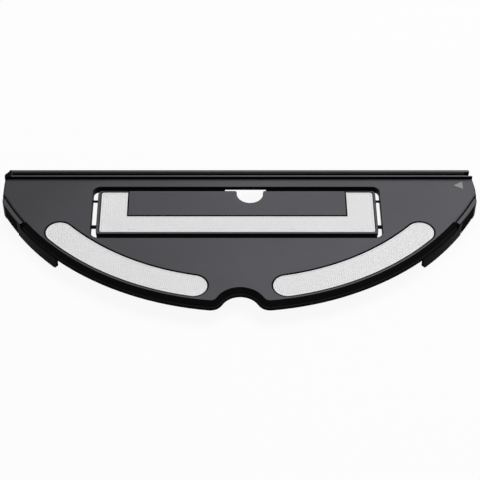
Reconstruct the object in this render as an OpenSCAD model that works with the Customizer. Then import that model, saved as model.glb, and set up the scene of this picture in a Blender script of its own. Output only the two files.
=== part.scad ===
// Mop bracket for a round robot vacuum, lying with its cloth face up.
// A slim frame of two mouldings follows the rear of the robot. A floating plate
// in its window is driven from side to side, and an ear with a sprung latch
// stands on each side. Distances are taken from the robot's centre, which is
// also the centre of every arc, and heights from the cloth face.

/* [Frame outline] */
// Radius of the rear edge at the cloth face
arc_r = 170; // [165:0.5:180]
// How far the black skirt flares out below the face
skirt_out = 4.2; // [2:0.1:5]
// Thickness of the frame
frame_t = 5; // [4.5:0.1:6]
// Half of the width at the cloth face
side_half = 152.3; // [150:0.1:154]
// How far the side strips slope out
side_out = 1.5; // [0.5:0.1:2]
// Distance from the robot's centre to the straight front edge
front_dist = 55.9; // [54:0.1:57]

/* [Rear notch] */
// Radius of the notch at the cloth face
notch_r = 16.55; // [14:0.05:18]
// Distance from the robot's centre to the notch's centre
notch_dist = 174.5; // [173:0.1:176]
// Radius that rounds the two corners of its mouth
mouth_r = 4; // [3:0.1:5]

/* [Cloth rail] */
// Height of the rail above the cloth face
rail_h = 2.5; // [2:0.1:3]
// Width of its outer wall
rail_wall = 2; // [1.6:0.1:2.4]
// Width of the slot's mouth
slot_w = 2.9; // [2.4:0.1:3.2]
// Width of the lip beside the cloth face
lip_w = 1.3; // [1:0.1:1.6]

/* [Window] */
// Width of the window
window_w = 185.5; // [184:0.1:187]
// Depth of the window from front to rear
window_d = 45.95; // [44:0.05:47]
// Where its centre lies to the right of the middle
window_x = -2.05; // [-3:0.05:-1]
// Distance from the robot's centre to the window's centre
window_dist = 92.38; // [92:0.01:93]
// Radius of its corners
window_r = 4.5; // [3:0.1:6]

/* [Floating plate] */
// Width of the plate
plate_w = 179.8; // [178:0.1:181]
// Depth of the plate from front to rear
plate_d = 39.05; // [38:0.05:40]
// Where its centre lies to the right of the middle
plate_x = -1.8; // [-2.2:0.05:-1.4]
// Distance from the robot's centre to the plate's centre
plate_dist = 92.53; // [92.2:0.01:92.9]
// Width of the drive notch
drive_w = 17.1; // [14:0.1:19]
// Depth of the drive notch
drive_d = 11.05; // [9:0.05:12]
// Where the drive notch lies to the right of the middle
drive_x = 6.75; // [5:0.05:8]

/* [Guide pins] */
// Diameter of the rear pins
rear_pin_d = 2.5; // [2:0.1:2.7]
// Diameter of the front pins
front_pin_d = 1.7; // [1.5:0.1:2]
// Distance from the robot's centre to the rear pins
rear_pin_dist = 102.7; // [101:0.1:104]
// Distance from the robot's centre to the front pins
front_pin_dist = 79.4; // [78.8:0.1:81]

/* [Hook tape] */
// Width of the curved strips
strip_w = 17.7; // [16:0.1:18]
// Radius of their centre line
strip_r = 159.2; // [158.5:0.1:159.5]
// Angle from the rear middle to the centre of the inner end
strip_from = 10.5; // [10:0.1:12]
// Angle from the rear middle to the centre of the outer end
strip_to = 46.1; // [40:0.1:46.5]
// Width of the two arms of the strip on the plate
arm_w = 17.3; // [15:0.1:18]
// Width of its long side
base_w = 14.3; // [12:0.1:15]
// Depth of the tape's recess
tape_t = 1; // [0.8:0.05:1]

/* [Ears and latches] */
// Height of the ears below the cloth face
ear_h = 15; // [13:0.1:16]
// Outer radius of the ears at their top
ear_r = 174; // [173.6:0.1:174.1]
// Angle from the side to the rear end of an ear
ear_end = 47.9; // [44:0.1:49]
// Angle from the side to the middle of a button
button_angle = 31.75; // [31:0.05:32.5]
// Travel of a button
button_travel = 2.5; // [1:0.1:2.5]

/* [Hidden] */

// Facets of small rounds and of the large arcs
$fn = 48;
arc_fn = 240;
// Overlap of a cutting tool with free space, and gap between pieces that meet
cut = 1;
fit = 0.05;
gap = 0.3;

// Levels below the cloth face
face_wall = 2;
parting = 3.4;
cover_inset = 0.15;
slope = skirt_out / frame_t;
flange_depth = 4.5;
flange_t = 1.4;
channel_roof = 2.5;
slot_low = 2.2;
plate_t = 5.8;
fork_depth = 11;

// Plan positions, with the front edge on the far side
front_y = -front_dist;
lip_y = front_y - rail_wall - slot_w - lip_w;
window_y = -window_dist;
plate_y = -plate_dist;
mouth_y = (pow(notch_r + mouth_r, 2) - pow(arc_r - mouth_r, 2) - pow(notch_dist, 2))
          / (2 * notch_dist);
mouth_x = sqrt(pow(arc_r - mouth_r, 2) - pow(mouth_y, 2));
rear_y = mouth_y - mouth_r - skirt_out + cover_inset + fit;
centre_y = (front_y + rear_y) / 2;

// The channel under the rail through which the robot's drive arm reaches the plate
channel_x0 = -9.4;
channel_x1 = 17.3;

// The ledge of an ear takes the place of the skirt beside the button
ledge_r = 171.4;
ledge_top = 1;
ledge_y = -79.2;
ledge_end = 36.1;
ear_in_r = 171.6;
ear_draft = 0.6;
foot_r = 155;
foot_low = 6.9;
ear_round = 3;

// Latch, in the direction of the button: a face in the ear's window, a slider and a hook
button_half = 8.2;
button_in = 170.9;
button_top = 3.1;
button_low = 14.6;
button_inset = 0.55;
stop_half = 9.4;
stop_x = [169.9, 171];
pocket_r = 167.6;
cheek_end = 167;
slider_half = 5.5;
slider_top = 7.2;
slider_low = 10.6;
slider_in = 157;
spring_z = -9.2;
spring_stop = 149;
spring_r = 2.2;
spring_wire = 0.4;
spring_turns = 7;

// Pins: how far they reach into the frame and into the plate
pin_in_frame = 8;
pin_in_plate = 9;
bush_len = 8;
bush_wall = 0.65;
running = 0.04;

screw_r = 0.95;
screw_head_r = 1.9;
screw_head_t = 1.1;

frame_screw_spots = [[131, -66], [-131, -66], [62, -65.6], [-62, -65.6], [119, -90], [-119, -90],
                     [101, -107.5], [-101, -107.5], [55, -129], [-55, -129], [0, -140]];
scrub_screw_spots = [[-60, -86], [-60, -99], [56, -86], [56, -99], [-20, -92.5], [27, -92.5]];
ear_screw_spots = [[27.4, 159.5], [42.6, 162.5]];
magnet_spot = [-34, -146];
magnet_r = 3;
magnet_t = 2;

// Puts the part's origin at the middle of its footprint, on the surface it stands on
module in_place() {
  translate([0, -centre_y, ear_h]) children();
}

// Runs a module for one side of the bracket: 1 is right and -1 is left
module on_side(side) {
  if (side > 0) children();
  else mirror([1, 0, 0]) children();
}

// Turns the x axis so that it runs from the robot's centre through a button
module along_button() {
  rotate([0, 0, -button_angle]) children();
}

// Flat rectangle with round corners about the origin
module round_rect(w, d, r) {
  square([w - 2 * r, d], center = true);
  square([w, d - 2 * r], center = true);
  for (x = [-1, 1], y = [-1, 1])
    translate([x * (w / 2 - r), y * (d / 2 - r)]) circle(r);
}

// Upright prism from one depth to another, of a flat shape
module prism(top, bottom) {
  translate([0, 0, -bottom]) linear_extrude(bottom - top) children();
}

// Ring sector between two angles measured from the side towards the rear
module sector(r_in, r_out, from, to, top, bottom) {
  translate([0, 0, -bottom]) rotate([0, 0, -to])
    rotate_extrude(angle = to - from, $fn = arc_fn)
      translate([r_in, 0]) square([r_out - r_in, bottom - top]);
}

// Cone that is the flared skirt between two depths, for radius r at the face
module flare(r, out, top, bottom) {
  translate([0, 0, -bottom])
    cylinder(h = bottom - top, r1 = r + out * bottom, r2 = r + out * top, $fn = arc_fn);
}

// Plan of the frame in front of the skirt, with its two different front corners
module front_plan() {
  w = side_half + side_out;
  polygon([[-w, rear_y - cut], [w, rear_y - cut], [w, front_y - 14], [w - 0.6, front_y - 10],
           [w - 1.4, front_y - 6.2], [w - 3.5, front_y], [3.1 - w, front_y],
           [2.75 - w, front_y - 1.3], [0.25 - w, front_y - 4.2], [-w, front_y - 10]]);
}

// Solid frame between two depths, every outer face drawn in by inset
module frame_body(top, bottom, inset = 0) {
  difference() {
    intersection() {
      flare(arc_r - inset, slope, top, bottom);
      prism(top, bottom) drawn_in(inset) front_plan();
      side_limits(inset);
    }
    translate([0, -notch_dist, 0]) flare(notch_r + inset, -slope, top - cut, bottom + cut);
    for (side = [-1, 1]) on_side(side) mouth_corner(top, bottom, inset);
  }
}

// Draws the front plan in from its sides and its front
module drawn_in(inset) {
  intersection() {
    children();
    translate([inset - side_half - side_out, rear_y - cut])
      square([2 * (side_half + side_out - inset), front_y - inset - rear_y + cut]);
  }
}

// What is left of the sides: a short slope and then an upright wall
module side_limits(inset) {
  a = side_half - inset;
  b = side_half + side_out - inset;
  rotate([90, 0, 0]) linear_extrude(-rear_y + cut)
    polygon([[-a, cut], [a, cut], [a, 0], [b, -side_out], [b, -ear_h], [-b, -ear_h],
             [-b, -side_out], [-a, 0]]);
}

// What the rounding takes off one corner of the notch's mouth; it stays a little short of
// the two walls it runs into, so that the cones cross instead of touching
module mouth_corner(top, bottom, inset) {
  reach = 16;
  out_dir = [mouth_x, mouth_y] / (arc_r - mouth_r);
  notch_dir = ([0, -notch_dist] - [mouth_x, mouth_y]) / (notch_r + mouth_r);
  translate([mouth_x, mouth_y, 0]) difference() {
    prism(top - cut, bottom + cut) polygon([[0, 0], reach * out_dir, reach * notch_dir]);
    flare(mouth_r - inset - fit, slope, top - 2 * cut, bottom + 2 * cut);
  }
}

// Window opening grown by a margin
module window_plan(margin = 0) {
  translate([window_x, window_y])
    round_rect(window_w + 2 * margin, window_d + 2 * margin, window_r + margin);
}

// One curved tape, as a flat band with round ends, grown by a margin. The ends stay a
// hair narrower than the band, so that the two surfaces cross instead of touching
module curved_tape(margin, top, bottom) {
  r = strip_w / 2 + margin;
  sector(strip_r - r, strip_r + r, 90 - strip_to, 90 - strip_from, top, bottom);
  for (a = [strip_from, strip_to])
    rotate([0, 0, a]) translate([0, -strip_r, -bottom]) cylinder(h = bottom - top, r = r - fit);
}

// The strip on the plate, open to the front, grown by a margin
module plate_tape_plan(margin) {
  w = plate_w - 3.85;
  front = plate_y + plate_d / 2 - 1;
  d = plate_d - 2.7;
  translate([plate_x + 0.2, front - d / 2]) difference() {
    round_rect(w + 2 * margin, d + 2 * margin, 1.5);
    translate([-w / 2 + arm_w + margin, -d / 2 + base_w + margin])
      square([w - 2 * (arm_w + margin), d + cut]);
  }
}

// Plate outline with its drive notch, whose mouth has small lead-in rounds
module plate_plan(margin = 0) {
  lead = 1.2;
  half = drive_w / 2 + margin;
  front = plate_y + plate_d / 2;
  difference() {
    translate([plate_x, plate_y]) round_rect(plate_w - 2 * margin, plate_d - 2 * margin, 3);
    translate([drive_x, front - drive_d + drive_w / 2]) circle(half, $fn = 72);
    translate([drive_x - half, front - drive_d + drive_w / 2]) square([2 * half, drive_d]);
    for (s = [-1, 1]) translate([drive_x + s * (half + lead), front - lead - margin])
      difference() {
        translate([s > 0 ? -lead - cut : 0, 0]) square([lead + cut, lead + cut]);
        circle(lead);
      }
  }
}

// Where the four pins are: x of the window's edge, y, side and radius
function pin_y(rear) = rear ? -rear_pin_dist : -front_pin_dist;
function pin_r(rear) = (rear ? rear_pin_d : front_pin_d) / 2;
function window_edge(side) = window_x + side * window_w / 2;
function plate_edge(side) = plate_x + side * plate_w / 2;

// Rod along x whose axis lies in the parting plane
module cross_rod(x_from, x_to, y, r) {
  translate([min(x_from, x_to), y, -parting]) rotate([0, 90, 0])
    cylinder(h = abs(x_to - x_from), r = r);
}

module all_pin_bores(extra, x_reach) {
  for (side = [-1, 1], rear = [false, true])
    cross_rod(window_edge(side) - side * cut, window_edge(side) + side * x_reach,
              pin_y(rear), pin_r(rear) + extra);
}

// Room that the ear and its button need at the edge of the frame
module ear_room() {
  for (side = [-1, 1]) on_side(side) difference() {
    union() {
      sector(ledge_r, ear_r + 6, 20, ledge_end, -cut, frame_t + cut);
      sector(pocket_r, ear_r + 6, 28.2, 35.3, button_top - 0.5, frame_t + cut);
    }
    translate([0, ledge_y, -ear_h]) cube([200, 100, 2 * ear_h]);
  }
}

module cloth_shell() {
  color([0.32, 0.32, 0.33]) in_place() {
    difference() {
      union() {
        difference() {
          frame_body(0, parting);
          frame_body(face_wall, parting + cut, 3.4);
        }
        // Thicker floor under the rail and the walls round the window
        intersection() {
          frame_body(face_wall, parting, 2);
          translate([-200, lip_y - 1.6, -parting]) cube([400, 40, parting]);
        }
        prism(face_wall - 0.2, parting) window_frame_plan(3.2);
        prism(face_wall - 0.2, flange_depth) window_frame_plan(flange_t);
        rail_block();
        shell_bosses();
        pin_blocks();
        intersection() {
          frame_body(face_wall, parting, 2);
          cavity_ribs();
        }
      }
      prism(-rail_h - cut, flange_depth + cut) window_plan();
      slot_space();
      for (side = [-1, 1]) on_side(side) curved_tape(0.35, -cut, tape_t);
      channel_space(channel_roof, lip_y - 1.8);
      all_pin_bores(fit, pin_in_frame + fit);
      ear_room();
      screw_pilots(frame_screw_spots, 1.3);
    }
    arrow_mark();
  }
}

// Ring of wall round the window
module window_frame_plan(t) {
  difference() {
    window_plan(t);
    window_plan();
  }
}

// Rail above the face, before its slot is cut
module rail_block() {
  intersection() {
    prism(-rail_h, face_wall) front_plan();
    translate([-200, lip_y, -face_wall]) cube([400, 40, rail_h + face_wall]);
  }
}

// The slot is closed at the left and opens with a lead-in at the right
module slot_space() {
  far = front_y - rail_wall;
  near = far - slot_w;
  step = 0.35;
  left = -149;
  translate([left, near, 1.5]) cube([400, slot_w, rail_h]);
  translate([left, near, -cut]) cube([400, slot_w - step, rail_h + cut]);
  translate([left, near - 1.6, -slot_low]) cube([400, slot_w + 2.5, slot_low - 0.3]);
  translate([side_half - 5, (far + near) / 2, -slot_low]) linear_extrude(rail_h + slot_low + cut)
    polygon([[0, -slot_w / 2], [8, -slot_w / 2 - 1], [8, slot_w / 2 + 1.4], [0, slot_w / 2]]);
}

module arrow_mark() {
  prism(-0.15, cut) polygon([[139.6, -67.9], [145.6, -64.3], [145.7, -71.3]]);
}

// Room of the drive channel below a roof, from the window to some way forward
module channel_space(roof, forward) {
  rear = window_y + window_d / 2 - 2;
  translate([channel_x0, rear, -ear_h])
    cube([channel_x1 - channel_x0, forward - rear, ear_h - roof]);
}

module shell_bosses() {
  for (p = frame_screw_spots)
    translate([p[0], p[1], -parting]) cylinder(h = parting - face_wall + 0.2, r = 2.6);
}

module pin_blocks() {
  for (side = [-1, 1], rear = [false, true]) {
    x = window_edge(side) + side * (pin_in_frame + 2) / 2;
    translate([x, pin_y(rear), -(parting + face_wall) / 2 + 0.1])
      cube([pin_in_frame + 2, 2 * pin_r(rear) + 3, parting - face_wall + 0.2], center = true);
  }
}

// Stiffening ribs between the two mouldings, along rays and across
module cavity_ribs() {
  for (a = [-60 : 15 : 60])
    rotate([0, 0, a]) translate([-0.5, -172, -parting]) cube([1, 26, parting - face_wall + 0.2]);
  for (side = [-1, 1]) on_side(side)
    sector(146, 147, 30, 88, face_wall - 0.2, parting);
}

module screw_pilots(spots, top) {
  for (p = spots)
    translate([p[0], p[1], -ear_h]) cylinder(h = ear_h - top, r = screw_r);
}

module robot_side_cover() {
  color([0.1, 0.1, 0.11]) in_place() difference() {
    union() {
      frame_body(parting, frame_t, cover_inset);
      intersection() {
        frame_body(parting, frame_t + 3, 5);
        stiffeners();
      }
      for (p = frame_screw_spots) translate([p[0], p[1], -frame_t - 1.4]) cylinder(h = 2, r = 3.2);
      translate([magnet_spot[0], magnet_spot[1], -frame_t - 1.2]) cylinder(h = 2, r = magnet_r + 1.4);
      front_hooks();
      pin_pads();
      for (side = [-1, 1]) on_side(side) along_button() spring_post();
    }
    prism(0, ear_h) window_plan(flange_t + 0.1);
    channel_space(0, 0);
    all_pin_bores(fit, pin_in_frame + fit);
    ear_room();
    for (side = [-1, 1]) on_side(side) {
      sector(pocket_r, ear_r + 6, 26.5, 36.6, 0, frame_t + cut);
      for (s = ear_screw_spots) at_angle(s) translate([0, 0, -ear_h]) cylinder(h = ear_h, r = screw_r);
    }
    for (p = frame_screw_spots) translate([p[0], p[1], 0]) screw_hole(frame_t + 1.4);
    translate([magnet_spot[0], magnet_spot[1], -frame_t - 1.3])
      cylinder(h = magnet_t + 0.1, r = magnet_r + fit);
  }
}

// Ribs on the robot side: two arcs with rays between them, a bar and the window's edge
module stiffeners() {
  low = frame_t + 2.2;
  for (side = [-1, 1]) on_side(side) {
    sector(164.6, 166, 48.5, 90, parting, low);
    sector(144, 145.2, 44, 90, parting, low);
    for (a = [50 : 9.2 : 88]) rotate([0, 0, -a]) translate([144.4, -0.6, -low])
      cube([21, 1.2, low - parting]);
  }
  prism(parting, low) difference() {
    window_plan(flange_t + 2.2);
    window_plan(flange_t + 1);
  }
  translate([-140, front_y - 8.6, -low]) cube([280, 1.2, low - parting]);
}

module pin_pads() {
  for (side = [-1, 1], rear = [false, true])
    translate([window_edge(side) + side * (pin_in_frame / 2 + 2.2), pin_y(rear), -frame_t - 0.3])
      cube([pin_in_frame, 2 * pin_r(rear) + 3, 1.4], center = true);
}

// Clearance hole for the shank with a flat-bottomed well for the head
module screw_hole(seat) {
  translate([0, 0, -seat - cut]) cylinder(h = cut + screw_head_t, r = screw_head_r + 0.2);
  translate([0, 0, -seat - cut]) cylinder(h = 6, r = screw_r + 0.15);
}

// Tabs with a nose that go into the robot's body at its front edge
module front_hooks() {
  w = 14;
  root = front_y - 6;
  for (x = [-118, -46, 60, 118]) {
    translate([x - w / 2, root, 0]) rotate([90, 0, 90]) linear_extrude(w)
      polygon([[0, -parting], [2.2, -parting], [2.2, -9.8], [4.4, -11.4], [4.4, -12.2],
               [3.2, -13.2], [0.4, -13.2], [0, -12.8]]);
    for (s = [-1, 1]) translate([x + s * (w / 2 - 1) - 0.6, root, 0])
      rotate([90, 0, 90]) linear_extrude(1.2)
        polygon([[0.2, -parting], [0.2, -12], [-3.5, -frame_t], [-3.5, -parting]]);
  }
}

// Post against which the latch spring pushes, with a spigot that centres it
module spring_post() {
  translate([spring_stop - 2.2, -4, spring_z - 3])
    cube([2.2, 8, -spring_z + 3 - parting]);
  for (s = [-1, 1]) translate([0, s * 3.2 - 0.6, 0]) rotate([90, 0, 0]) mirror([0, 0, 1])
    linear_extrude(1.2) polygon([[spring_stop - 6, -parting], [spring_stop - 2, -parting],
                                 [spring_stop - 2, spring_z - 2], [spring_stop - 6, -frame_t]]);
  translate([spring_stop - 0.2, 0, spring_z]) spigot(1.8);
}

// Short pin along x that a spring end fits over
module spigot(h) {
  rotate([0, 90, 0]) cylinder(h = h, r = spring_r - spring_wire - 0.25, $fn = 24);
}

module at_angle(polar) {
  rotate([0, 0, -polar[0]]) translate([polar[1], 0, 0]) children();
}

// Slab whose outline is drawn from the robot's centre outwards and down
module radial_rib(y, t) {
  translate([0, y, 0]) rotate([90, 0, 0]) mirror([0, 0, 1]) linear_extrude(t) children();
}

// One ear: the outer wall, the foot screwed to the cover and the latch guides
module ear() {
  difference() {
    union() {
      ear_wall();
      ear_foot();
      along_button() latch_guides();
    }
    along_button() translate([cheek_end + 0.9, -button_half - 0.35, -ear_h - cut])
      cube([20, 2 * button_half + 0.7, ear_h + cut - button_top + gap]);
    for (s = ear_screw_spots) at_angle(s) screw_hole(foot_low);
  }
}

// The wall rises beside the frame as a ledge and runs on below its skirt
module ear_wall() {
  difference() {
    intersection() {
      translate([0, 0, -ear_h])
        cylinder(h = ear_h, r1 = ear_r - ear_draft, r2 = ear_r, $fn = arc_fn);
      sector(ear_in_r, ear_r + cut, 20, ear_end, ledge_top, ear_h);
      translate([0, -200, -ear_h - cut])
        cube([side_half + side_out - 0.2, 200 + ledge_y - 0.15, 30]);
    }
    sector(ear_in_r - cut, ear_r + 2 * cut, ledge_end - 0.1, ear_end + 2, 0, frame_t + fit);
    rotate([0, 0, -ear_end]) translate([ear_in_r - cut, 0, -ear_h]) difference() {
      translate([0, -cut, -cut]) cube([6, ear_round + cut, ear_round + cut]);
      translate([-cut, ear_round, ear_round]) rotate([0, 90, 0])
        cylinder(h = 8, r = ear_round + fit);
    }
  }
}

// Flat foot against the robot side of the cover, with two gussets up the wall
module ear_foot() {
  difference() {
    sector(foot_r, ear_in_r + 0.4, 25.2, ear_end - 1.6, frame_t + fit, foot_low);
    translate([side_half - 1, ledge_y - 0.15, -ear_h]) cube([20, 40, ear_h]);
  }
  for (a = [38.6, 46]) rotate([0, 0, -a]) radial_rib(-0.6, 1.2)
    polygon([[163, -foot_low + 0.1], [ear_in_r + 0.4, -foot_low + 0.1],
             [ear_in_r + 0.4, -ear_h + 0.5]]);
}

// Two cheeks beside the slider and the bar that keeps it in
module latch_guides() {
  inner = slider_half + gap;
  for (y = [inner, -inner - 1.6]) radial_rib(y, 1.6)
    polygon([[158, -frame_t - fit], [cheek_end, -frame_t - fit], [cheek_end, -13.4], [158, -12.4]]);
  translate([161.6, -inner - 1, -12.4]) cube([3, 2 * inner + 2, 1.4]);
}

module left_ear() {
  color([0.13, 0.13, 0.14]) in_place() on_side(-1) ear();
}

module right_ear() {
  color([0.13, 0.13, 0.14]) in_place() on_side(1) ear();
}

// Press face with upright grip ribs, stop lip, slider and the hook that holds the robot
module latch_button() {
  along_button() {
    intersection() {
      translate([button_in, -button_half, -button_low])
        cube([6, 2 * button_half, button_low - button_top]);
      union() {
        button_cone(button_inset);
        intersection() {
          button_cone(button_inset - 0.4);
          for (a = [-2.2 : 0.55 : 2.2]) rotate([0, 0, a]) translate([160, -0.35, -ear_h])
            cube([20, 0.7, ear_h - button_top - 0.7]);
        }
      }
    }
    translate([stop_x[0], -stop_half, -button_low + 0.3])
      cube([stop_x[1] - stop_x[0], 2 * stop_half, button_low - slider_top - 0.4]);
    translate([slider_in, -slider_half, -slider_low])
      cube([button_in - slider_in + 0.1, 2 * slider_half, slider_low - slider_top]);
    radial_rib(-3.5, 7)
      polygon([[slider_in, 0.1 - slider_low], [slider_in + 2, 0.1 - slider_low],
               [slider_in + 2, -12.4], [slider_in + 3.6, -13.2], [slider_in + 3.6, -13.7],
               [slider_in + 2.8, -14.3], [slider_in, -14.3]]);
    translate([slider_in - 1.6, 0, spring_z]) spigot(1.8);
  }
}

// Outer surface of the ear, drawn in by a little
module button_cone(inset) {
  translate([0, 0, -ear_h])
    cylinder(h = ear_h, r1 = ear_r - ear_draft - inset, r2 = ear_r - inset, $fn = arc_fn);
}

module left_latch_button() {
  color([0.05, 0.05, 0.05]) in_place() on_side(-1) latch_button();
}

module right_latch_button() {
  color([0.05, 0.05, 0.05]) in_place() on_side(1) latch_button();
}

// Compression spring swept along a helix about the x axis
module coil(x_from, x_to) {
  steps = 16;
  sides = 6;
  rings = spring_turns * steps;
  mid = spring_r - spring_wire / 2;
  points = [for (i = [0 : rings], k = [0 : sides - 1])
    let (a = 360 * i / steps, b = 360 * k / sides, r = mid + spring_wire / 2 * cos(b),
         x = x_from + spring_wire / 2 + (x_to - x_from - spring_wire) * i / rings)
      [x + spring_wire / 2 * sin(b), r * cos(a), r * sin(a)]];
  faces = concat(
    [[for (k = [sides - 1 : -1 : 0]) k]],
    [[for (k = [0 : sides - 1]) rings * sides + k]],
    [for (i = [0 : rings - 1], k = [0 : sides - 1])
      [i * sides + k, i * sides + (k + 1) % sides, (i + 1) * sides + (k + 1) % sides,
       (i + 1) * sides + k]]);
  polyhedron(points, faces);
}

module latch_spring() {
  along_button() translate([0, 0, spring_z]) coil(spring_stop + fit, slider_in - fit);
}

module left_latch_spring() {
  color([0.7, 0.7, 0.72]) in_place() on_side(-1) latch_spring();
}

module right_latch_spring() {
  color([0.7, 0.7, 0.72]) in_place() on_side(1) latch_spring();
}

// Upper half of the floating plate: a tray over the bushes, with the tape's recess
module scrub_plate() {
  color([0.33, 0.33, 0.34]) in_place() difference() {
    union() {
      prism(0, face_wall + 0.2) plate_plan();
      prism(face_wall, parting) difference() {
        plate_plan();
        plate_plan(1.5);
      }
      bush_blocks(face_wall, parting);
      for (p = scrub_screw_spots) translate([p[0], p[1], -parting])
        cylinder(h = parting - face_wall, r = 2.6);
    }
    prism(-cut, tape_t) plate_tape_plan(0.35);
    bush_bores();
    screw_pilots(scrub_screw_spots, 1.5);
  }
}

module bush_blocks(top, bottom) {
  for (side = [-1, 1], rear = [false, true])
    translate([plate_edge(side) - side * (pin_in_plate + 6) / 2, pin_y(rear), -(top + bottom) / 2])
      cube([pin_in_plate + 6, 7, bottom - top], center = true);
}

// Hole in the plate's edge, seat of the bush and free way for the pin's end
module bush_bores() {
  for (side = [-1, 1], rear = [false, true]) {
    e = plate_edge(side);
    cross_rod(e + side * cut, e - side * (pin_in_plate + 3.6), pin_y(rear), pin_r(rear) + gap);
    cross_rod(e - side * 0.6, e - side * (bush_len + 0.7), pin_y(rear), bush_r(rear) + fit);
  }
}

function bush_r(rear) = pin_r(rear) + running + bush_wall;

// Lower half of the floating plate, with the fork that the robot's drive pin moves
module scrub_plate_cover() {
  color([0.1, 0.1, 0.11]) in_place() difference() {
    union() {
      difference() {
        prism(parting, plate_t) plate_plan(0.15);
        prism(parting - cut, plate_t - 1.4) plate_plan(2.6);
      }
      bush_blocks(parting, plate_t - 1.2);
      for (p = scrub_screw_spots) translate([p[0], p[1], -plate_t - 0.8])
        cylinder(h = plate_t + 0.8 - parting, r = 3);
      prism(plate_t - 0.4, fork_depth) fork_plan();
      for (y = [-9, 9]) translate([plate_x - 82, plate_y + y - 0.6, -plate_t - 1.6])
        cube([164, 1.2, 2]);
    }
    translate([drive_x - drive_w / 2, plate_y + plate_d / 2 - drive_d + drive_w / 2, -ear_h])
      cube([drive_w, 40, ear_h]);
    translate([drive_x, plate_y + plate_d / 2 - drive_d + drive_w / 2, -ear_h])
      cylinder(h = ear_h, d = drive_w, $fn = 72);
    bush_bores();
    for (p = scrub_screw_spots) translate([p[0], p[1], 0]) screw_hole(plate_t + 0.8);
  }
}

// Wall of the fork: the notch's outline made thicker, open to the front
module fork_plan() {
  t = 2;
  front = plate_y + plate_d / 2;
  translate([drive_x, front - drive_d + drive_w / 2]) circle(drive_w / 2 + t, $fn = 72);
  translate([drive_x - drive_w / 2 - t, front - drive_d + drive_w / 2])
    square([drive_w + 2 * t, drive_d - drive_w / 2 - 0.15]);
}

// Ground steel pin from its seat in the frame, across the gap, into the plate's bush
module guide_pin(side, rear) {
  from = window_edge(side) + side * pin_in_frame;
  to = plate_edge(side) - side * pin_in_plate;
  r = pin_r(rear);
  color([0.45, 0.45, 0.46]) in_place() {
    cross_rod(from, to + side * 0.3, pin_y(rear), r);
    translate([to, pin_y(rear), -parting]) rotate([0, side * 90, 0])
      cylinder(h = 0.31, r1 = r - 0.3, r2 = r);
  }
}

module front_left_pin() {
  guide_pin(-1, false);
}

module front_right_pin() {
  guide_pin(1, false);
}

module rear_left_pin() {
  guide_pin(-1, true);
}

module rear_right_pin() {
  guide_pin(1, true);
}

// Slippery plastic sleeve pressed between the halves of the floating plate
module bush(side, rear) {
  e = plate_edge(side) - side * 0.65;
  color([0.85, 0.84, 0.78]) in_place() difference() {
    cross_rod(e, e - side * bush_len, pin_y(rear), bush_r(rear));
    cross_rod(e + side * cut, e - side * (bush_len + cut), pin_y(rear), pin_r(rear) + running);
  }
}

module front_left_bush() {
  bush(-1, false);
}

module front_right_bush() {
  bush(1, false);
}

module rear_left_bush() {
  bush(-1, true);
}

module rear_right_bush() {
  bush(1, true);
}

module left_hook_strip() {
  color([0.85, 0.85, 0.85]) in_place() on_side(-1) curved_tape(0, 0.1, tape_t - 0.01);
}

module right_hook_strip() {
  color([0.85, 0.85, 0.85]) in_place() on_side(1) curved_tape(0, 0.1, tape_t - 0.01);
}

module scrub_hook_strip() {
  color([0.85, 0.85, 0.85]) in_place() prism(0.1, tape_t - 0.01) plate_tape_plan(0);
}

module detection_magnet() {
  color([0.6, 0.6, 0.62]) in_place() translate([magnet_spot[0], magnet_spot[1], -frame_t - 1.2])
    cylinder(h = magnet_t, r = magnet_r);
}

// Pan-head self-tapping screw that enters from below; seat is the depth of its head's face
module screw(seat, length) {
  translate([0, 0, -seat]) difference() {
    union() {
      cylinder(h = screw_head_t - 0.02, r = screw_head_r);
      cylinder(h = screw_head_t + length - 0.8, r = screw_r - fit);
      translate([0, 0, screw_head_t + length - 0.81])
        cylinder(h = 0.8, r1 = screw_r - fit, r2 = 0.2);
    }
    for (a = [0, 90]) rotate([0, 0, a]) translate([-1.2, -0.25, -cut]) cube([2.4, 0.5, cut + 0.6]);
  }
}

module frame_screws() {
  color([0.3, 0.3, 0.31]) in_place()
    for (p = frame_screw_spots) translate([p[0], p[1], 0]) screw(frame_t + 1.4, 3.9);
}

module ear_screws() {
  color([0.3, 0.3, 0.31]) in_place()
    for (side = [-1, 1]) on_side(side) for (s = ear_screw_spots) at_angle(s) screw(foot_low, 2.2);
}

module scrub_plate_screws() {
  color([0.3, 0.3, 0.31]) in_place()
    for (p = scrub_screw_spots) translate([p[0], p[1], 0]) screw(plate_t + 0.8, 3.9);
}

cloth_shell();
robot_side_cover();
left_ear();
right_ear();
left_latch_button();
right_latch_button();
left_latch_spring();
right_latch_spring();
scrub_plate();
scrub_plate_cover();
front_left_pin();
front_right_pin();
rear_left_pin();
rear_right_pin();
front_left_bush();
front_right_bush();
rear_left_bush();
rear_right_bush();
left_hook_strip();
right_hook_strip();
scrub_hook_strip();
detection_magnet();
frame_screws();
ear_screws();
scrub_plate_screws();
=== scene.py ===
import math

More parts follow.
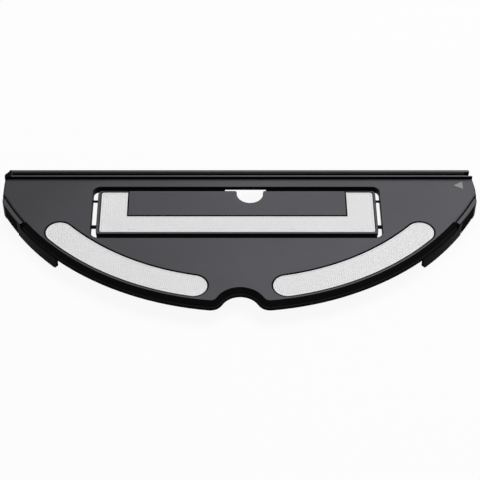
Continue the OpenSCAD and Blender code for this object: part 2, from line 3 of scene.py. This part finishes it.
import bpy
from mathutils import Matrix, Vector


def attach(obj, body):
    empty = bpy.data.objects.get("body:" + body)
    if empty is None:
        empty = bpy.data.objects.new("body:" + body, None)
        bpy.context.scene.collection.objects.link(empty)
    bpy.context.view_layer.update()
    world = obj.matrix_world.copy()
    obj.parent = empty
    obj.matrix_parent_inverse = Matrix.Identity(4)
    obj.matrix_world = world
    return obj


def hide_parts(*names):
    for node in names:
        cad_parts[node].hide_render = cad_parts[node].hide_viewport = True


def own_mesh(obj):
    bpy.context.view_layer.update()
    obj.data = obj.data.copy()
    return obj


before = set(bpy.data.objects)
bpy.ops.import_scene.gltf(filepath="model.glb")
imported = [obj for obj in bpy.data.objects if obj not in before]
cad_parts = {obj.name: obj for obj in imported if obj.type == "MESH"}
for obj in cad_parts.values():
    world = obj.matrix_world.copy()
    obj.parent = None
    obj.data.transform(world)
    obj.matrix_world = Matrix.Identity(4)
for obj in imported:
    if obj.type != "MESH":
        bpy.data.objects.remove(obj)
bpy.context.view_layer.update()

# Cloth shell: the upper moulding of the frame, in black ABS, screwed to the robot-side
# cover from below. Its cloth face and ledges have a fine spark texture, and their grey is a
# painted sheen for the bright room that faces looking up mirror, while its skirt, the rail's
# walls and the floors of its recesses are polished and black, the floors as painted shade.


class Wire:
    """A socket of a material's node tree. Sums, products and the like add Math nodes."""

    def __init__(self, tree, socket=None):
        self.tree, self.socket = tree, socket

    def node(self, kind, settings=None, sockets=None, out=0):
        """Adds a node: its settings first, then the values or links of its sockets."""
        made = self.tree.nodes.new(kind)
        for name, value in (settings or {}).items():
            setattr(made, name, value)
        for name, value in (sockets or {}).items():
            if isinstance(value, Wire):
                self.tree.links.new(value.socket, made.inputs[name])
            else:
                made.inputs[name].default_value = value
        return Wire(self.tree, made.outputs[out])

    def math(self, operation, first, second=0.0):
        return self.node("ShaderNodeMath", {"operation": operation}, {0: first, 1: second})

    def __add__(self, other):
        return self.math("ADD", self, other)

    __radd__ = __add__

    def __sub__(self, other):
        return self.math("SUBTRACT", self, other)

    def __rsub__(self, other):
        return self.math("SUBTRACT", other, self)

    def __mul__(self, other):
        return self.math("MULTIPLY", self, other)

    __rmul__ = __mul__

    def __abs__(self):
        return self.math("ABSOLUTE", self)

    def least(self, other):
        return self.math("MINIMUM", self, other)

    def most(self, other):
        return self.math("MAXIMUM", self, other)

    def step(self, low, high):
        """0 below low and 1 above high, with a smooth rise between them."""
        return self.node("ShaderNodeMapRange", {"interpolation_type": "SMOOTHSTEP"},
                         {"Value": self, "From Min": low, "From Max": high})

    def place(self, axis):
        """Where a point lies on the piece along x, y or z, in metres."""
        where = self.node("ShaderNodeTexCoord", out="Object")
        return self.node("ShaderNodeSeparateXYZ", None, {0: where}, out=axis)

    def rise(self):
        """How far the surface faces up: 1 on a level top and 0 on an upright wall."""
        normal = self.node("ShaderNodeTexCoord", out="Normal")
        return self.node("ShaderNodeSeparateXYZ", None, {0: normal}, out="Z")

    def grain(self, scale, detail=2.0, stretch=(1, 1, 1)):
        """Noise from 0 to 1 in the piece's own coordinates, with scale in cells a metre."""
        where = self.node("ShaderNodeTexCoord", out="Object")
        where = self.node("ShaderNodeMapping", None, {"Vector": where, "Scale": stretch})
        return self.node("ShaderNodeTexNoise", None,
                         {"Vector": where, "Scale": scale, "Detail": detail})

    def blend(self, amount, dark, light):
        """A colour between two colours, each a wire or three numbers."""
        dark, light = [c if isinstance(c, Wire) else (*c, 1) for c in (dark, light)]
        return self.node("ShaderNodeMix", {"data_type": "RGBA"}, {0: amount, 6: dark, 7: light},
                         out=2)

    def bump(self, height, distance, strength):
        return self.node("ShaderNodeBump", None,
                         {"Height": height, "Distance": distance, "Strength": strength})


def finish_of(name, **constants):
    """A new material with its shader. Returns the material, a wire to start from and a
    function that feeds the shader's sockets."""
    material = bpy.data.materials.new(name)
    material.use_nodes = True
    tree = material.node_tree
    shader = tree.nodes["Principled BSDF"]
    for socket, value in constants.items():
        shader.inputs[socket.replace("_", " ")].default_value = value

    def feed(**links):
        for socket, wire in links.items():
            tree.links.new(wire.socket, shader.inputs[socket.replace("_", " ")])

    return material, Wire(tree), feed


def dress(name, material):
    """Gives a CAD node its finish."""
    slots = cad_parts[name].data.materials
    slots.clear()
    slots.append(material)


# The greys of the face are a painted sheen: faces that look up are lighter than the rest.
painted_sheen_dark = (0.066, 0.065, 0.0715)
painted_sheen_light = (0.124, 0.123, 0.134)


def spark_and_painted_sheen_colour(w, more=0.0):
    """Grey of the spark texture with clouds and single sparks; the grey is a painted sheen.
    It is darker towards the left as painted shade, and more adds a painted highlight."""
    x = w.place("X")
    # Painted shade: darker towards the left along x, with random clouds and sparks on top.
    grey_with_painted_light = 0.72 + (x * 4.6).least(x * 1.5)
    grey_with_painted_light = grey_with_painted_light + (w.grain(22, 3) - 0.5) * 0.4 + (w.grain(2600) - 0.5) * 0.3
    return w.blend((grey_with_painted_light + more).most(0.0).least(1.6), painted_sheen_dark, painted_sheen_light)


def moulded(name, gloss, texture_and_sheen, flank, more=0.0):
    """Finish with spark texture and a painted sheen where a mask says so, and polish and black
    elsewhere. more gives a painted highlight.
    """
    material, w, feed = finish_of(name, Specular_IOR_Level=gloss)
    mask = texture_and_sheen(w)
    painted_highlight = more(w) if more else 0.0
    spark, flow = w.grain(2600), w.grain(60, 2, (1, 1, 6))
    feed(Base_Color=w.blend(mask, flank(w), spark_and_painted_sheen_colour(w, painted_highlight)),
         Roughness=0.34 + mask * 0.24 + flow * 0.06,
         Normal=w.bump(spark * mask + flow * 0.3, 0.00006, 0.5))
    return material


def with_painted_underside_light(w, black):
    """The faces that look at the robot are a mottled grey, lighter than the polished walls:
    painted light that stands in for fill light from below.
    """
    fine = w.grain(35, 3) * 0.6 + w.grain(1500) * 0.4
    # Painted light: the lighter grey on faces that look down.
    rough = w.blend(fine, (0.03, 0.03, 0.031), (0.044, 0.044, 0.046))
    return w.blend((0 - w.rise()).step(0.4, 0.8), black, rough)


def polished_black(w):
    return with_painted_underside_light(w, w.blend(w.grain(35, 3), (0.0034, 0.0034, 0.0036),
                                (0.0052, 0.0052, 0.0056)))


def recess_distance(w):
    """How far a point lies from the middle line of the nearest curved tape, in metres."""
    x, back = abs(w.place("X")), 0.11445 - w.place("Y")
    radius = w.math("SQRT", x * x + back * back)
    angle = w.math("ARCTAN2", x, back)
    beside = angle.step(0.18326, 0.18327) * (1 - angle.step(0.80459, 0.8046))
    nearest = abs(radius - 0.1592) + (1 - beside)
    for end in (0.18326, 0.8046):
        across, along = x - 0.1592 * math.sin(end), back - 0.1592 * math.cos(end)
        nearest = nearest.least(w.math("SQRT", across * across + along * along))
    return nearest


def window_distance(w):
    """How far a point lies outside the window of the floating plate, in metres."""
    x = (abs(w.place("X") + 0.00205) - 0.08825).most(0.0)
    y = (abs(w.place("Y") - 0.02207) - 0.018475).most(0.0)
    return w.math("SQRT", x * x + y * y) - 0.0045


def shell_texture_and_sheen(w):
    """The face, the rail's ledges and the narrow border along each ear are textured and get
    the painted sheen. The rail's closed end and a fine line round the recesses and the window
    are polished and black, the line as painted shade in the gaps."""
    x, y, z = w.place("X"), w.place("Y"), w.place("Z")
    painted_sheen_faces = w.rise().step(0.75, 0.93) * z.step(0.0147, 0.0149)
    rail_end = z.step(0.0155, 0.0157) * (1 - x.step(-0.1496, -0.1490))
    # Painted shade: a dark line round the recesses and the window.
    painted_gap_shade = recess_distance(w).step(0.0096, 0.0099) * window_distance(w).step(0.0004, 0.0006)
    border = w.rise().step(0.5, 0.6) * z.step(0.01415, 0.0143) * (1 - z.step(0.0152, 0.0154))
    border = border * y.step(0.0131, 0.0136) * abs(x).step(0.12, 0.121)
    return (painted_sheen_faces * painted_gap_shade * (1 - rail_end)).most(border)


dress("cloth_shell", moulded("shell_plastic", 0.015, shell_texture_and_sheen, polished_black))

# Robot-side cover: the lower moulding of the frame, in the same black ABS. It carries the
# ribs, the tabs and the posts for the latch springs. Its top edge, on which the cloth shell
# sits, has a painted highlight: a lighter band in its colour for the light that edge catches.


def cover_colour(w):
    # Painted highlight: a lighter band along the top edge.
    painted_edge_highlight = w.place("Z").step(0.01120, 0.01135) * (0.5 + w.grain(160, 3) * 0.7)
    low = w.blend(w.grain(35, 3) * 0.6 + w.grain(1500) * 0.4, (0.0044, 0.0044, 0.0046),
                  (0.0072, 0.0072, 0.0077))
    return with_painted_underside_light(w, w.blend(painted_edge_highlight.least(1.0), low, (0.045, 0.045, 0.047)))


def dark_plastic(name, gloss, colour, rough, texture=1500):
    material, w, feed = finish_of(name, Specular_IOR_Level=gloss)
    cloud, fine = w.grain(35, 3), w.grain(texture)
    feed(Base_Color=colour(w), Roughness=rough + cloud * 0.12,
         Normal=w.bump(fine, 0.00005, 0.4))
    return material


dress("robot_side_cover", dark_plastic("cover_plastic", 0.01, cover_colour, 0.4))

# Ears: two mouldings in tough black nylon, screwed to the cover's robot side, that stand
# beside the frame and guide the latches. Their walls are satin, and the narrow ledge beside
# the cloth face has the face's texture and painted sheen, with a painted highlight on top.


def satin_black(w):
    return with_painted_underside_light(w, w.blend(w.grain(35, 3) * 0.6 + w.grain(900) * 0.4,
                                (0.004, 0.004, 0.0044), (0.0065, 0.0065, 0.007)))


def ear_texture_and_sheen(w):
    # Texture and painted sheen on the ledge, where it looks up.
    return w.rise().step(0.75, 0.93) * w.place("Z").step(0.0138, 0.0139)


def ledge_painted_highlight(w):
    """Painted highlight: the ledges are a step lighter than the face."""
    return 0.3


ear_plastic = moulded("ear_plastic", 0.005, ear_texture_and_sheen, satin_black, ledge_painted_highlight)
for side in ("left", "right"):
    dress(side + "_ear", ear_plastic)

# Latch buttons: one moulding each, in black acetal, with a ribbed press face, a slider that
# runs in the ear's cheeks and a hook that holds the robot.


def acetal_black(w):
    return w.blend(w.grain(1500), (0.0026, 0.0026, 0.0028), (0.0042, 0.0042, 0.0045))


button_plastic = dark_plastic("button_plastic", 0.002, acetal_black, 0.38)
for side in ("left", "right"):
    dress(side + "_latch_button", button_plastic)

# Latch springs: coils of drawn steel wire with closed ends, between a post of the cover and
# the button. On the latch they shorten when the button is pressed; here each coil keeps one
# length.


def steel(name, low, high, rough, stretch=(1, 1, 1)):
    material, w, feed = finish_of(name, Metallic=1.0)
    line = w.grain(900, 3, stretch)
    feed(Base_Color=w.blend(line, low, high), Roughness=rough + line * 0.12,
         Normal=w.bump(line, 0.00002, 0.5))
    return material


robot_centre = Vector((0, 0.11445, 0.015))
wire_steel = steel("spring_steel", (0.42, 0.42, 0.43), (0.62, 0.62, 0.63), 0.2)


def add_piece(name, verts, faces, material, body):
    mesh = bpy.data.meshes.new(name)
    mesh.from_pydata(verts, [], faces)
    mesh.materials.append(material)
    mesh.update()
    piece = bpy.data.objects.new(name, mesh)
    bpy.context.scene.collection.objects.link(piece)
    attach(piece, body)
    return piece


for side, name in ((-1, "left"), (1, "right")):
    outward = Vector((side * 0.8503, -0.5262, 0))
    across = Vector((-outward.y, outward.x, 0))
    upward = Vector((0, 0, 1))
    foot = robot_centre + outward * 0.14905 - upward * 0.0092
    length, coil_r, wire_r = 0.0079, 0.002, 0.0002
    turns, steps, sides = 7, 28, 10
    verts, faces = [], []
    for i in range(turns * steps + 1):
        share = i / (turns * steps)
        along = wire_r + (length - 2 * wire_r) * (share - 0.09 * math.sin(2 * math.pi * share))
        turn = 2 * math.pi * i / steps
        radial = across * math.cos(turn) + upward * math.sin(turn)
        for k in range(sides):
            a = 2 * math.pi * k / sides
            verts.append(foot + outward * (along + wire_r * math.sin(a))
                         + radial * (coil_r + wire_r * math.cos(a)))
        if i:
            b = (i - 1) * sides
            faces += [(b + k, b + (k + 1) % sides, b + sides + (k + 1) % sides, b + sides + k)
                      for k in range(sides)]
    faces += [tuple(range(sides - 1, -1, -1)), tuple(len(verts) - sides + k for k in range(sides))]
    spring = add_piece(name + "_coil", verts, faces, wire_steel, "frame")
    for polygon in spring.data.polygons:
        polygon.use_smooth = True
    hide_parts(name + "_latch_spring")
    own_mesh(spring)

# Floating plate: the scrub plate is moulded and textured like the cloth shell, with its
# painted sheen, and with a rim that is rounded off and polished, with a painted highlight
# just inside. Its lower half is plain black.


def rim_distance(w):
    """How far a point lies inside the plate's outline, in metres."""
    to_end = 0.0899 - abs(w.place("X") + 0.0018)
    to_side = 0.019525 - abs(w.place("Y") - 0.02192)
    return to_end.least(to_side)


def plate_texture_and_sheen(w):
    """The open face between the tape's arms, textured and with painted sheen, with a fine
    polished line along the tape that is dark as painted shade.
    """
    painted_sheen_face = w.rise().step(0.75, 0.93) * w.place("Z").step(0.0147, 0.0149)
    beside_tape = (abs(w.place("X") + 0.0016) - 0.07068).most(0.01851 - w.place("Y"))
    # Painted shade: the dark line along the tape's edge.
    line = beside_tape.step(-0.0009, -0.0006) * (1 - beside_tape.step(0.0, 0.0001))
    return painted_sheen_face * rim_distance(w).step(0.00018, 0.00045) * (1 - line)


def plate_rim_painted_highlight(w):
    """A painted highlight: a lighter line just inside the plate's rim."""
    return 0.55 * (1 - rim_distance(w).step(0.0005, 0.0011))


dress("scrub_plate", moulded("plate_plastic", 0.015, plate_texture_and_sheen, polished_black,
                             plate_rim_painted_highlight))
dress("scrub_plate_cover", dark_plastic("plate_cover_plastic", 0.01, polished_black, 0.4))

# Guide pins: ground steel, held between the frame's two halves. Their near-black colour
# is painted shade for the shadow in the gaps they cross.
pin_steel = steel("pin_steel", (0.003, 0.003, 0.0035), (0.009, 0.009, 0.01), 0.28, (1, 12, 12))
for pin in ("front_left_pin", "front_right_pin", "rear_left_pin", "rear_right_pin"):
    dress(pin, pin_steel)

# Bushes: turned sleeves in natural acetal, pressed between the halves of the floating plate.
bush_plastic, w, feed = finish_of("bush_plastic")
turned = w.grain(1800, 2, (20, 1, 1))
feed(Base_Color=w.blend(turned, (0.7, 0.68, 0.61), (0.82, 0.8, 0.73)),
     Roughness=0.25 + turned * 0.15, Normal=w.bump(turned, 0.00002, 0.5))
for bush in ("front_left_bush", "front_right_bush", "rear_left_bush", "rear_right_bush"):
    dress(bush, bush_plastic)

# Magnet and screws: a nickel-plated disc and self-tapping screws in black zinc, all on the
# robot side.
dress("detection_magnet", steel("nickel_plate", (0.5, 0.49, 0.46), (0.62, 0.61, 0.58), 0.12))
screw_steel = steel("screw_steel", (0.03, 0.03, 0.033), (0.08, 0.08, 0.085), 0.3, (1, 1, 8))
for group in ("frame_screws", "ear_screws", "scrub_plate_screws"):
    dress(group, screw_steel)

# Hook tapes: white nylon, let into the face: a smooth welded rim round a woven ground, from
# which small monofilament hooks stand, all curled the same way within a row.
tape_nylon, w, feed = finish_of("hook_tape", Specular_IOR_Level=0.4)
fibre, cloud = w.grain(1400), w.grain(40)
feed(Base_Color=w.blend(fibre * 0.5 + cloud * 0.5, (0.81, 0.81, 0.815), (0.89, 0.89, 0.895)),
     Roughness=0.42 + fibre * 0.2, Normal=w.bump(fibre, 0.00004, 0.5))

cloth_face = 0.015
tape_low = cloth_face - 0.00099
tape_rim = cloth_face - 0.00025
tape_ground = cloth_face - 0.0005
hook_tip = cloth_face + 0.0003
hook_pitch = 0.0013


def outline_points(corners, step=0.0012):
    """Points along a closed line of corners, none further apart than step."""
    points = []
    for a, b in zip(corners, corners[1:] + corners[:1]):
        n = max(1, round((Vector(b) - Vector(a)).length / step))
        points += [(a[0] + (b[0] - a[0]) * k / n, a[1] + (b[1] - a[1]) * k / n) for k in range(n)]
    return points


def inward(points, distance):
    """The outline drawn in by a distance, for a line that runs anticlockwise."""
    moved = []
    for i, p in enumerate(points):
        a, b = Vector(points[i - 1]), Vector(points[(i + 1) % len(points)])
        along = (b - a).normalized()
        moved.append((p[0] - along.y * distance, p[1] + along.x * distance))
    return moved


def hook(at, facing, height, wire=0.0001, reach=0.00022):
    """One hook as rings of a four-sided wire: vertices and faces."""
    across = Vector((-facing.y, facing.x, 0))
    spine = [(0, 0), (0, height - reach)]
    spine += [(reach - reach * math.cos(a), height - reach + reach * math.sin(a))
              for a in (0.9, 1.7, 2.6, 3.5)]
    verts, faces = [], []
    for k, (x, z) in enumerate(spine):
        before, after = spine[max(k - 1, 0)], spine[min(k + 1, len(spine) - 1)]
        tangent = Vector((after[0] - before[0], after[1] - before[1])).normalized()
        out = facing * tangent.y - Vector((0, 0, 1)) * tangent.x
        centre = Vector(at) + facing * x + Vector((0, 0, z))
        verts += [centre + out * wire, centre + across * wire,
                  centre - out * wire, centre - across * wire]
        if k:
            b = 4 * (k - 1)
            faces += [(b + i, b + (i + 1) % 4, b + 4 + (i + 1) % 4, b + 4 + i) for i in range(4)]
    faces.append(tuple(4 * (len(spine) - 1) + i for i in range(4)))
    return verts, faces


def hook_tape(name, recess, spots, body):
    """Rim, ground and hooks as one piece. Spots are the places and directions of hooks."""
    outline = inward(recess, 0.0002)
    rings = [(0, tape_low), (0, tape_rim - 0.0001), (0.0001, tape_rim), (0.0007, tape_rim),
             (0.00085, tape_ground)]
    n = len(outline)
    verts = []
    for inset, z in rings:
        verts += [(x, y, z) for x, y in (inward(outline, inset) if inset else outline)]
    faces = [(r * n + i, r * n + (i + 1) % n, (r + 1) * n + (i + 1) % n, (r + 1) * n + i)
             for r in range(len(rings) - 1) for i in range(n)]
    faces += [tuple(range(n - 1, -1, -1)), tuple((len(rings) - 1) * n + i for i in range(n))]
    for at, facing in spots:
        more, joined = hook((*at, tape_ground), facing, hook_tip - tape_ground)
        faces += [tuple(len(verts) + i for i in f) for f in joined]
        verts += [tuple(v) for v in more]
    return add_piece(name, verts, faces, tape_nylon, body)


# The two curved tapes lie between two angles from the rear middle, with round ends.
strip_radius, strip_half = 0.1592, 0.00885
strip_from, strip_to = math.radians(10.5), math.radians(46.1)
end_steps = 24


def on_arc(radius, angle):
    return Vector((radius * math.sin(angle), -radius * math.cos(angle)))


def round_end(angle, forward):
    """Points round one end of a curved tape, from its outer edge or back from its inner."""
    centre = on_arc(strip_radius, angle)
    out = on_arc(1, angle)
    along = Vector((math.cos(angle), math.sin(angle)))
    return [tuple(centre + forward * strip_half * (out * math.cos(math.pi * k / end_steps)
                                                   + along * math.sin(math.pi * k / end_steps)))
            for k in range(1, end_steps)]


def curved_spots(side):
    """Rows along the strip, as far from its edge as the rim needs."""
    spots = []
    reach = strip_half - 0.0013
    rows = 12
    for j in range(rows):
        offset = -reach + 2 * reach * j / (rows - 1)
        radius = strip_radius + offset
        extra = math.sqrt(max(reach ** 2 - offset ** 2, 0)) / radius
        span = strip_to - strip_from + 2 * extra
        n = int(radius * span / hook_pitch)
        for k in range(n + 1):
            a = strip_from - extra + (k + 0.5 * (j % 2)) / (n + 1) * span
            at = on_arc(radius, a)
            turned = 1 if j % 2 else -1
            spots.append(((side * at.x, at.y + robot_centre.y),
                          Vector((side * math.cos(a) * turned, math.sin(a) * turned, 0))))
    return spots


for side, name in ((-1, "left"), (1, "right")):
    angles = [strip_from + (strip_to - strip_from) * k / 60 for k in range(61)]
    corners = [tuple(on_arc(strip_radius + strip_half, a)) for a in angles]
    corners += round_end(strip_to, 1)
    corners += [tuple(on_arc(strip_radius - strip_half, a)) for a in reversed(angles)]
    corners += round_end(strip_from, -1)
    corners = [(side * x, y + robot_centre.y) for x, y in corners]
    if side < 0:
        corners.reverse()
    strip = hook_tape(name + "_tape", corners, curved_spots(side), "frame")
    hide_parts(name + "_hook_strip")

# The tape on the floating plate follows its two ends and its rear side.
left, right = -0.089575, 0.086375
rear_side, front_side = robot_centre.y - 0.11024, robot_centre.y - 0.07401
arm, base = 0.0173, 0.0143


def corner(x, y, to_x, to_y, r):
    """Round corner of a rectangle, from a leg along x or y that to_x and to_y point into."""
    return [(x + to_x * r * (1 - math.cos(a)), y + to_y * r * (1 - math.sin(a)))
            for a in [math.pi / 2 * k / 8 for k in range(9)]]


corners = (corner(left, rear_side, 1, 1, 0.0014)
           + corner(right, rear_side, -1, 1, 0.0014)[::-1]
           + corner(right, front_side, -1, -1, 0.0018)
           + [(right - arm, front_side), (right - arm, rear_side + base),
              (left + arm, rear_side + base), (left + arm, front_side)]
           + corner(left, front_side, 1, -1, 0.0018)[::-1])
spots = []
margin = 0.0015
rows = int((front_side - rear_side - 2 * margin) / hook_pitch)
for j in range(rows + 1):
    y = rear_side + margin + j * (front_side - rear_side - 2 * margin) / rows
    spans = [(left, right)] if y < rear_side + base - margin else [(left, left + arm),
                                                                   (right - arm, right)]
    for a, b in spans:
        n = int((b - a - 2 * margin) / hook_pitch)
        for k in range(n + 1):
            shift = (0.25 if j % 2 else -0.25) * (0 < k < n)
            x = a + margin + (k + shift) * (b - a - 2 * margin) / n
            spots.append(((x, y), Vector((1 if j % 2 else -1, 0, 0))))
strip = hook_tape("scrub_tape", outline_points(corners), spots, "scrub")
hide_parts("scrub_hook_strip")

# Arrow print: a pale triangle stamped on the raised mark beside the slot's open end. It
# shows the way in which the cloth's strip is pushed.
mark = [Vector((0.1396, -0.0679)), Vector((0.1456, -0.0643)), Vector((0.1457, -0.0713))]
middle = sum(mark, Vector((0, 0))) / 3
verts = []
for shrink, z in ((1.0, 0.01512), (1.0, 0.01519), (0.93, 0.01523)):
    for p in mark:
        at = middle + (p - middle) * shrink
        verts.append((at.x, at.y + robot_centre.y, z))
faces = [(3 * r + i, 3 * r + 3 + i, 3 * r + 3 + (i + 1) % 3, 3 * r + (i + 1) % 3)
         for r in (0, 1) for i in range(3)] + [(6, 8, 7), (0, 1, 2)]
arrow_ink, w, feed = finish_of("arrow_ink", Specular_IOR_Level=0.3)
ink = w.grain(1800)
feed(Base_Color=w.blend(ink, (0.235, 0.235, 0.24), (0.29, 0.29, 0.295)),
     Roughness=0.5 + ink * 0.15, Normal=w.bump(ink, 0.00003, 0.4))
add_piece("arrow_print", verts, faces, arrow_ink, "frame")

# Floor, light and camera: a white sweep, a large soft light above, behind and to the right
# of the bracket, and a weak fill.


def picture_ray(w):
    """1 for rays that carry the background itself: seen straight, mirrored or let through."""
    seen = [w.node("ShaderNodeLightPath", out="Is " + kind + " Ray")
            for kind in ("Camera", "Glossy", "Transmission")]
    return (seen[0] + seen[1] + seen[2]).least(1.0)


profile = [(-2.5, -0.0002), (1.2, -0.0002)]
profile += [(1.2 + 1.2 * math.sin(a), 1.1998 - 1.2 * math.cos(a))
            for a in [math.pi / 2 * k / 16 for k in range(1, 17)]]
profile.append((2.4, 3.5))
mesh = bpy.data.meshes.new("floor")
mesh.from_pydata([(x, y, z) for y, z in profile for x in (-3, 3)], [],
                 [(2 * k, 2 * k + 1, 2 * k + 3, 2 * k + 2) for k in range(len(profile) - 1)])
for polygon in mesh.polygons:
    polygon.use_smooth = True
floor = bpy.data.objects.new("floor", mesh)
bpy.context.scene.collection.objects.link(floor)
floor_paint, w, feed = finish_of("floor_paint", Roughness=0.9, Specular_IOR_Level=0.0)
feed(Base_Color=w.blend(w.grain(3), (0.86, 0.86, 0.86), (0.9, 0.9, 0.9)))
tree = floor_paint.node_tree
white = w.node("ShaderNodeEmission", None, {"Color": (1, 1, 1, 1), "Strength": 1.0})
shader = Wire(tree, tree.nodes["Principled BSDF"].outputs[0])
mixed = w.node("ShaderNodeMixShader", None, {0: picture_ray(w) * 0.92, 1: shader, 2: white})
tree.links.new(mixed.socket, tree.nodes["Material Output"].inputs[0])
mesh.materials.append(floor_paint)


def lamp(name, place, size, power):
    """Area lamp that shines on the bracket."""
    data = bpy.data.lights.new(name, "AREA")
    data.shape, data.size, data.size_y, data.energy = "RECTANGLE", size[0], size[1], power
    obj = bpy.data.objects.new(name, data)
    obj.location = place
    obj.rotation_euler = (-Vector(place)).to_track_quat("-Z", "Y").to_euler()
    bpy.context.scene.collection.objects.link(obj)


lamp("overhead", (0.45, 0.7, 1.7), (1.8, 1.4), 30)
lamp("front_fill", (0.3, -1.6, 1.5), (1.2, 0.8), 3)

world = bpy.data.worlds.new("studio")
bpy.context.scene.world = world
world.use_nodes = True
w = Wire(world.node_tree)
back = world.node_tree.nodes["Background"]
back.inputs["Color"].default_value = (1, 1, 1, 1)
world.node_tree.links.new((0.2 + picture_ray(w) * 0.8).socket, back.inputs["Strength"])

camera = bpy.data.cameras.new("camera")
camera.sensor_width = 36
camera.lens = 127.816
camera.shift_x = 0.02737
camera.clip_end = 20
eye = bpy.data.objects.new("camera", camera)
bpy.context.scene.collection.objects.link(eye)
eye.location = (-0.00823, -0.75585, 0.7865)
aim = Vector((-0.00823, -0.0031, 0.015))
eye.rotation_euler = (aim - eye.location).to_track_quat("-Z", "Y").to_euler()
bpy.context.scene.camera = eye
bpy.context.scene.view_settings.view_transform = "Standard"
